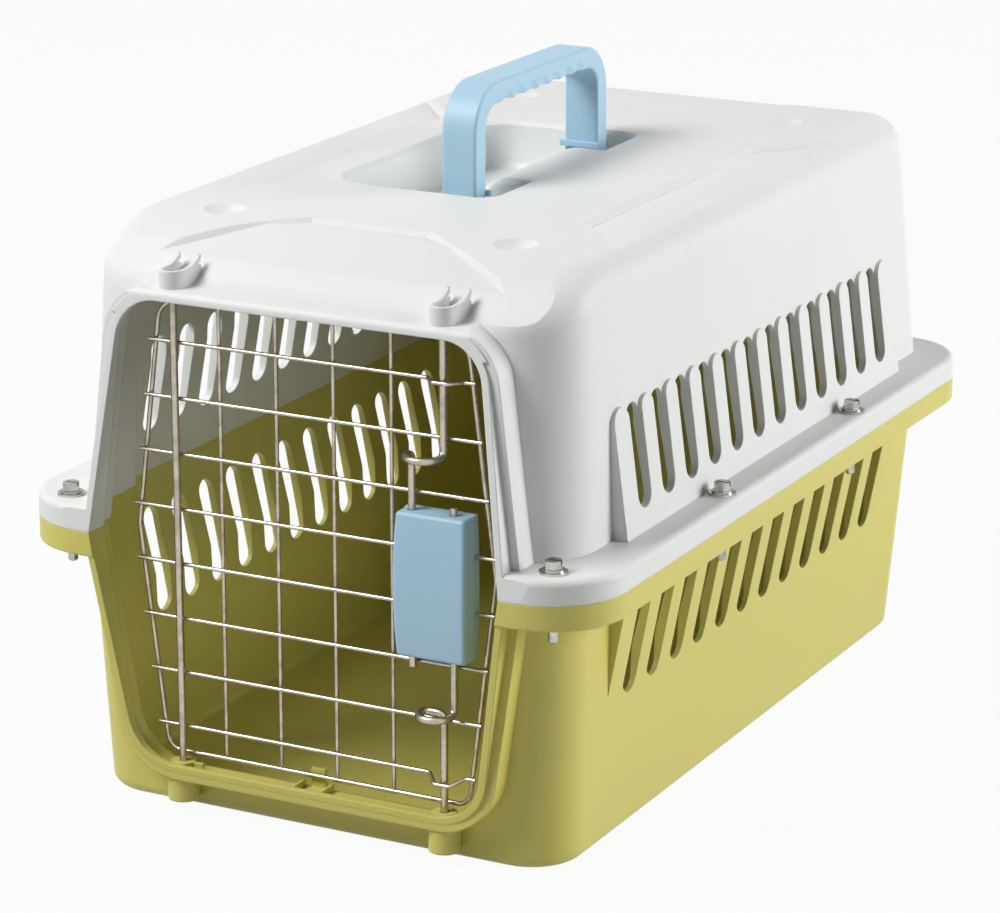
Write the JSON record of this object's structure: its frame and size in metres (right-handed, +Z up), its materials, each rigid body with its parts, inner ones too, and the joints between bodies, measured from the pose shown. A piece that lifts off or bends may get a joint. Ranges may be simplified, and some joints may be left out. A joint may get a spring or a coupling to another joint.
{
  "type": "pet carrier",
  "caption": "Hard two-piece pet carrier: vented tub and cover bolted at the rims, wire door with pinch latch, fold-down top handle.",
  "frame": {"origin": "middle of the rims' outline, on the floor under the carrier", "axes": "+X right seen from the door, +Y from the door to the back, +Z up"},
  "size_m": [0.325, 0.5004, 0.3515],
  "materials": {
    "lime_plastic": "fine moulded satin",
    "grey_plastic": "fine moulded satin",
    "blue_plastic": "smooth satin",
    "nickel_wire": "nickel-plated drawn wire",
    "spring_steel": "plain",
    "screw_steel": "bright zinc-plated"
  },
  "bodies": {
    "shells": {"lower_shell": "lime_plastic", "upper_shell": "grey_plastic", "front_screws": "screw_steel", "side_screws": "screw_steel", "rear_screws": "screw_steel", "screw_washers": "screw_steel", "rim_nuts": "screw_steel"},
    "carrying_handle": {"handle": "blue_plastic"},
    "door": {"door_frame_wire": "nickel_wire", "door_cross_wires": "nickel_wire", "door_upright_wires": "nickel_wire", "hinge_rod": "nickel_wire", "latch_front_cover": "blue_plastic", "latch_back_cover": "blue_plastic", "latch_cover_screws": "screw_steel"},
    "upper_latch": {"upper_latch_rod": "nickel_wire", "upper_rod_collar": "spring_steel", "upper_latch_spring": "spring_steel"},
    "lower_latch": {"lower_latch_rod": "nickel_wire", "lower_rod_collar": "spring_steel", "lower_latch_spring": "spring_steel"}
  },
  "joints": [
    {"name": "handle_fold", "type": "hinge", "parent": "shells", "child": "carrying_handle", "pos_m": [0.00175, 0, 0.287], "axis": [0, -1, 0], "range_deg": [0, 90]},
    {"name": "door_swing", "type": "hinge", "parent": "shells", "child": "door", "pos_m": [-0.075, -0.22965, 0.147], "axis": [0, 0, -1], "range_deg": [0, 135]},
    {"name": "upper_latch_slide", "type": "slide", "parent": "door", "child": "upper_latch", "axis": [0, 0, -1], "range_m": [0, 0.016], "stiffness_N_per_m": 100, "springref_m": -0.008, "deforming": ["upper_latch_spring"]},
    {"name": "lower_latch_slide", "type": "slide", "parent": "door", "child": "lower_latch", "axis": [0, 0, 1], "range_m": [0, 0.015], "stiffness_N_per_m": 100, "springref_m": -0.008, "deforming": ["lower_latch_spring"]}
  ]
}
